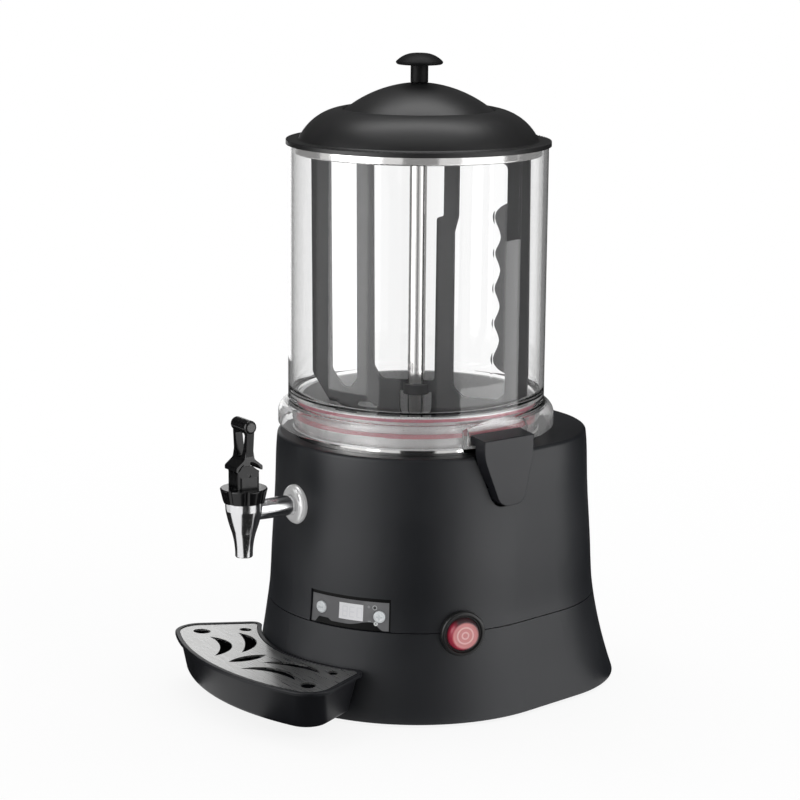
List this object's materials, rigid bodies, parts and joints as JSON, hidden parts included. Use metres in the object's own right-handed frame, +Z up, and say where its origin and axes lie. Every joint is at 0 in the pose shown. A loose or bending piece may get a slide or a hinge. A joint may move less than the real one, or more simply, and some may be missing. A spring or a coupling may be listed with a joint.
{
  "type": "hot chocolate dispenser",
  "caption": "Countertop hot drink dispenser: a clear stirred bowl with a domed lid on a heated base, with a lever tap and a clip-on drip tray.",
  "frame": {"origin": "bottom centre of the whole machine's bounding box, on the table", "axes": "+Z up; -Y towards the tap and the person using it; +X towards the side with the switch and the control panel"},
  "size_m": [0.291, 0.411, 0.5701],
  "materials": {
    "body_plastic": "fine satin texture, black",
    "foot_rubber": "matt",
    "screw_steel": "zinc bright",
    "bath_steel": "polished stainless sheet",
    "pan_steel": "satin stainless sheet",
    "gasket_red": "satin silicone",
    "bowl_clear": "clear moulded plastic",
    "lid_black": "satin black",
    "lid_band": "polished stainless band",
    "paddle_grey": "smooth dark grey",
    "shaft_steel": "ground stainless",
    "bush_bronze": "sintered",
    "gear_white": "natural nylon",
    "motor_paint": "dark paint",
    "plate_zinc": "zinc-coated sheet",
    "heater_steel": "sheathed element",
    "latch_black": "semi-gloss black",
    "tap_chrome": "mirror plated",
    "tap_black": "gloss black",
    "silicone_white": "satin silicone",
    "tray_black": "satin black",
    "grid_steel": "brushed along its length",
    "bezel_black": "satin black",
    "cap_red": "tinted translucent",
    "fascia_grey": "printed film",
    "display_pale": "clear lens over a segment display",
    "key_white": "satin white",
    "lamp_clear": "clear light pipe",
    "board_green": "solder mask",
    "terminal_cream": "moulded",
    "gland_black": "moulded"
  },
  "bodies": {
    "machine": {"upper_housing": "body_plastic", "base_skirt": "body_plastic", "base_plate": "body_plastic", "foot_front_left": "foot_rubber", "foot_front_right": "foot_rubber", "foot_rear_left": "foot_rubber", "foot_rear_right": "foot_rubber", "base_screws": "screw_steel", "gear_spacers": "screw_steel", "shank_nut": "screw_steel", "water_bath": "bath_steel", "product_pan": "pan_steel", "pan_rim_gasket": "gasket_red", "pan_seal_ring": "gasket_red", "bowl_cylinder": "bowl_clear", "latch_pin_left": "shaft_steel", "latch_pin_right": "shaft_steel", "lever_pin": "shaft_steel", "valve_spring": "shaft_steel", "chimney_bush": "bush_bronze", "shaft_bush_upper": "bush_bronze", "shaft_bush_lower": "bush_bronze", "stirrer_motor": "motor_paint", "gear_plate_lower": "plate_zinc", "gear_plate_upper": "plate_zinc", "heating_element": "heater_steel", "temperature_probe": "heater_steel", "tap_body": "tap_chrome", "tap_escutcheon": "tap_chrome", "tap_collar": "tap_black", "tap_bonnet": "tap_black", "tap_washer": "silicone_white", "power_bezel": "bezel_black", "power_switch": "bezel_black", "panel_fascia": "fascia_grey", "display_window": "display_pale", "indicator_lamps": "lamp_clear", "control_board": "board_green", "terminal_block": "terminal_cream", "cord_gland": "gland_black", "gland_nut": "gland_black"},
    "lid": {"lid_shell": "lid_black", "lid_ring": "lid_band", "lid_knob": "lid_black", "lid_knob_screw": "screw_steel"},
    "stirrer": {"drive_shaft": "shaft_steel", "drive_gear": "gear_white", "stirring_paddle": "paddle_grey"},
    "rotor": {"motor_pinion": "bush_bronze", "motor_rotor": "shaft_steel"},
    "lever": {"tap_lever": "tap_black"},
    "stem": {"valve_stem": "shaft_steel", "valve_cup": "silicone_white"},
    "latch_right_body": {"latch_right": "latch_black"},
    "latch_left_body": {"latch_left": "latch_black"},
    "tray": {"drip_tray": "tray_black"},
    "grid": {"drip_grid": "grid_steel"},
    "power": {"power_button": "cap_red"},
    "minus": {"minus_key": "key_white"},
    "plus": {"plus_key": "key_white"}
  },
  "joints": [
    {"name": "lid_lift", "type": "slide", "parent": "machine", "child": "lid", "axis": [0, 0, 1], "range_m": [0, 0.08]},
    {"name": "stirrer_spin", "type": "hinge", "parent": "machine", "child": "stirrer", "pos_m": [0, 0.0095, 0.3], "axis": [0, 0, 1], "continuous": true},
    {"name": "pinion_spin", "type": "hinge", "parent": "machine", "child": "rotor", "pos_m": [0, 0.0595, 0.13], "axis": [0, 0, 1], "continuous": true},
    {"name": "lever_tilt", "type": "hinge", "parent": "machine", "child": "lever", "pos_m": [0, -0.1705, 0.214], "axis": [1, 0, 0], "range_deg": [0, 40], "stiffness_Nm_per_rad": 0.15, "springref_deg": -17.19},
    {"name": "stem_lift", "type": "slide", "parent": "machine", "child": "stem", "axis": [0, 0, 1], "range_m": [0, 0.00335], "deforming": ["valve_spring"]},
    {"name": "latch_right_swing", "type": "hinge", "parent": "machine", "child": "latch_right_body", "pos_m": [0.12375, 0.01461, 0.207], "axis": [-0.0715, 0.9974, 0], "range_deg": [0, 18]},
    {"name": "latch_left_swing", "type": "hinge", "parent": "machine", "child": "latch_left_body", "pos_m": [-0.12375, 0.01461, 0.207], "axis": [-0.0715, -0.9974, 0], "range_deg": [0, 18]},
    {"name": "tray_pull", "type": "slide", "parent": "machine", "child": "tray", "axis": [0, -1, 0], "range_m": [0, 0.06]},
    {"name": "grid_lift", "type": "slide", "parent": "tray", "child": "grid", "axis": [0, 0, 1], "range_m": [0, 0.04]},
    {"name": "power_press", "type": "slide", "parent": "machine", "child": "power", "axis": [-0.9613, 0.2756, 0], "range_m": [0, 0.0025], "stiffness_N_per_m": 800, "springref_m": -0.0008},
    {"name": "minus_press", "type": "slide", "parent": "machine", "child": "minus", "axis": [-0.2957, 0.9553, 0], "range_m": [0, 0.0008], "stiffness_N_per_m": 1500, "springref_m": -0.0003},
    {"name": "plus_press", "type": "slide", "parent": "machine", "child": "plus", "axis": [-0.673, 0.7396, 0], "range_m": [0, 0.0008], "stiffness_N_per_m": 1500, "springref_m": -0.0003}
  ],
  "couplings": [
    {"joint": "pinion_spin", "follows": "stirrer_spin", "ratio": -4},
    {"joint": "lever_tilt", "follows": "stem_lift", "rad_per_m": 208.33}
  ]
}
